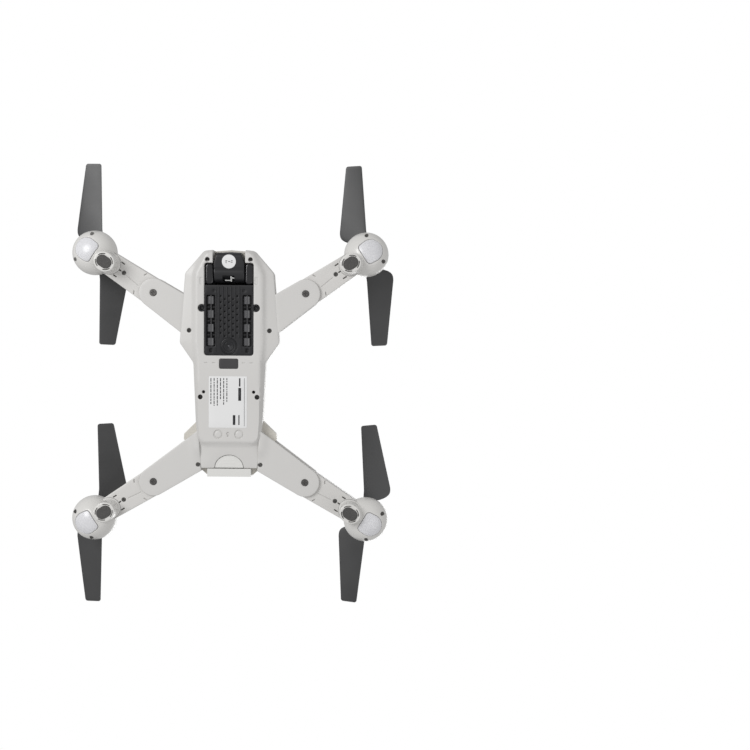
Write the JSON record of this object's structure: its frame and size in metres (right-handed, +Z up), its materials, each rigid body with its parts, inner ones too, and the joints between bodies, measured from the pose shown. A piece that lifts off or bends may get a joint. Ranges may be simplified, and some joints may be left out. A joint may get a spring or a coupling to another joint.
{
  "type": "folding camera quadcopter",
  "caption": "Folding camera quadcopter with hinged arms, folding rotor blades, a tilting nose camera and a slide-out tail battery.",
  "frame": {"origin": "on the ground, at the middle of the drone's bounding box seen from above, midway between the four rotors", "axes": "+Z up, -Y towards the nose and camera, +Y towards the tail and battery, +X towards the drone's left"},
  "size_m": [0.2834, 0.3913, 0.0578],
  "materials": {
    "shell_grey": "satin moulded",
    "shell_cream": "satin moulded",
    "battery_light": "satin moulded",
    "black_plastic": "moulded black",
    "damper_grey": "polished tube",
    "lens_black": "polished lens",
    "label_white": "printed film",
    "pad_rubber": "matte",
    "blade_plastic": "satin",
    "lamp_frosted": "frosted",
    "screw_steel": "dark plated",
    "motor_metal": "anodised",
    "winding_copper": "enamelled",
    "board_green": "solder mask",
    "cell_blue": "shrink film"
  },
  "bodies": {
    "root": {"lower_shell": "shell_grey", "upper_shell": "shell_cream", "front_arm_roots": "shell_grey", "rear_arm_roots": "shell_grey", "arm_pivot_screws": "screw_steel", "shell_screws": "screw_steel", "camera_tray": "black_plastic", "tray_dampers": "damper_grey", "flow_camera_lens": "lens_black", "belly_sensor_window": "lens_black", "rating_label": "label_white", "camera_yoke": "black_plastic", "main_board": "board_green"},
    "camera": {"camera_case": "black_plastic", "camera_lens": "lens_black", "camera_sticker": "label_white"},
    "battery": {"battery_case": "battery_light", "battery_cells": "cell_blue"},
    "latch": {"battery_latch": "battery_light"},
    "button": {"power_button": "pad_rubber"},
    "front_left_arm": {"front_left_arm": "shell_grey", "front_left_pod": "shell_grey", "front_left_lamp": "lamp_frosted", "front_left_foot": "pad_rubber", "front_left_stator": "winding_copper", "front_left_screws": "screw_steel"},
    "front_left_rotor": {"front_left_bell": "motor_metal", "front_left_hub": "blade_plastic"},
    "front_left_blade_a": {"front_left_blade_a": "blade_plastic"},
    "front_left_blade_b": {"front_left_blade_b": "blade_plastic"},
    "front_right_arm": {"front_right_arm": "shell_grey", "front_right_pod": "shell_grey", "front_right_lamp": "lamp_frosted", "front_right_foot": "pad_rubber", "front_right_stator": "winding_copper", "front_right_screws": "screw_steel"},
    "front_right_rotor": {"front_right_bell": "motor_metal", "front_right_hub": "blade_plastic"},
    "front_right_blade_a": {"front_right_blade_a": "blade_plastic"},
    "front_right_blade_b": {"front_right_blade_b": "blade_plastic"},
    "rear_left_arm": {"rear_left_arm": "shell_grey", "rear_left_pod": "shell_grey", "rear_left_lamp": "lamp_frosted", "rear_left_foot": "pad_rubber", "rear_left_stator": "winding_copper", "rear_left_screws": "screw_steel"},
    "rear_left_rotor": {"rear_left_bell": "motor_metal", "rear_left_hub": "blade_plastic"},
    "rear_left_blade_a": {"rear_left_blade_a": "blade_plastic"},
    "rear_left_blade_b": {"rear_left_blade_b": "blade_plastic"},
    "rear_right_arm": {"rear_right_arm": "shell_grey", "rear_right_pod": "shell_grey", "rear_right_lamp": "lamp_frosted", "rear_right_foot": "pad_rubber", "rear_right_stator": "winding_copper", "rear_right_screws": "screw_steel"},
    "rear_right_rotor": {"rear_right_bell": "motor_metal", "rear_right_hub": "blade_plastic"},
    "rear_right_blade_a": {"rear_right_blade_a": "blade_plastic"},
    "rear_right_blade_b": {"rear_right_blade_b": "blade_plastic"}
  },
  "joints": [
    {"name": "front_left_fold", "type": "hinge", "parent": "root", "child": "front_left_arm", "pos_m": [0.0658, -0.0809, 0.025], "axis": [0, 0, 1], "range_deg": [0, 123.4]},
    {"name": "front_left_spin", "type": "hinge", "parent": "front_left_arm", "child": "front_left_rotor", "pos_m": [0.11781, -0.1152, 0.04], "axis": [0, 0, 1], "continuous": true},
    {"name": "front_left_blade_a_fold", "type": "hinge", "parent": "front_left_rotor", "child": "front_left_blade_a", "pos_m": [0.11752, -0.12169, 0.051], "axis": [0, 0, 1], "range_deg": [-90, 90]},
    {"name": "front_left_blade_b_fold", "type": "hinge", "parent": "front_left_rotor", "child": "front_left_blade_b", "pos_m": [0.11811, -0.1087, 0.051], "axis": [0, 0, 1], "range_deg": [-90, 90]},
    {"name": "front_right_fold", "type": "hinge", "parent": "root", "child": "front_right_arm", "pos_m": [-0.0658, -0.0809, 0.025], "axis": [0, 0, 1], "range_deg": [-123.4, 0]},
    {"name": "front_right_spin", "type": "hinge", "parent": "front_right_arm", "child": "front_right_rotor", "pos_m": [-0.11781, -0.1152, 0.04], "axis": [0, 0, 1], "continuous": true},
    {"name": "front_right_blade_a_fold", "type": "hinge", "parent": "front_right_rotor", "child": "front_right_blade_a", "pos_m": [-0.1177, -0.12169, 0.051], "axis": [0, 0, 1], "range_deg": [-90, 90]},
    {"name": "front_right_blade_b_fold", "type": "hinge", "parent": "front_right_rotor", "child": "front_right_blade_b", "pos_m": [-0.11792, -0.1087, 0.051], "axis": [0, 0, 1], "range_deg": [-90, 90]},
    {"name": "rear_left_fold", "type": "hinge", "parent": "root", "child": "rear_left_arm", "pos_m": [0.0658, 0.0829, 0.025], "axis": [0, 0, 1], "range_deg": [-135.5, 0]},
    {"name": "rear_left_spin", "type": "hinge", "parent": "rear_left_arm", "child": "rear_left_rotor", "pos_m": [0.11869, 0.11582, 0.04], "axis": [0, 0, 1], "continuous": true},
    {"name": "rear_left_blade_a_fold", "type": "hinge", "parent": "rear_left_rotor", "child": "rear_left_blade_a", "pos_m": [0.11872, 0.10932, 0.051], "axis": [0, 0, 1], "range_deg": [-85, 90]},
    {"name": "rear_left_blade_b_fold", "type": "hinge", "parent": "rear_left_rotor", "child": "rear_left_blade_b", "pos_m": [0.11866, 0.12232, 0.051], "axis": [0, 0, 1], "range_deg": [-90, 85]},
    {"name": "rear_right_fold", "type": "hinge", "parent": "root", "child": "rear_right_arm", "pos_m": [-0.0658, 0.0829, 0.025], "axis": [0, 0, 1], "range_deg": [0, 135.5]},
    {"name": "rear_right_spin", "type": "hinge", "parent": "rear_right_arm", "child": "rear_right_rotor", "pos_m": [-0.11869, 0.11582, 0.04], "axis": [0, 0, 1], "continuous": true},
    {"name": "rear_right_blade_a_fold", "type": "hinge", "parent": "rear_right_rotor", "child": "rear_right_blade_a", "pos_m": [-0.11888, 0.10932, 0.051], "axis": [0, 0, 1], "range_deg": [-90, 90]},
    {"name": "rear_right_blade_b_fold", "type": "hinge", "parent": "rear_right_rotor", "child": "rear_right_blade_b", "pos_m": [-0.1185, 0.12232, 0.051], "axis": [0, 0, 1], "range_deg": [-90, 90]},
    {"name": "camera_tilt", "type": "hinge", "parent": "root", "child": "camera", "pos_m": [0, -0.0986, 0.0225], "axis": [1, 0, 0], "range_deg": [0, 90]},
    {"name": "battery_slide", "type": "slide", "parent": "root", "child": "battery", "axis": [0, 1, 0], "range_m": [0, 0.075]},
    {"name": "latch_press", "type": "slide", "parent": "battery", "child": "latch", "axis": [0, 0, 1], "range_m": [0, 0.0012], "stiffness_N_per_m": 600, "springref_m": -0.0003},
    {"name": "power_press", "type": "slide", "parent": "root", "child": "button", "axis": [0, 0, -1], "range_m": [0, 0.0006], "stiffness_N_per_m": 600, "springref_m": -0.0003}
  ]
}
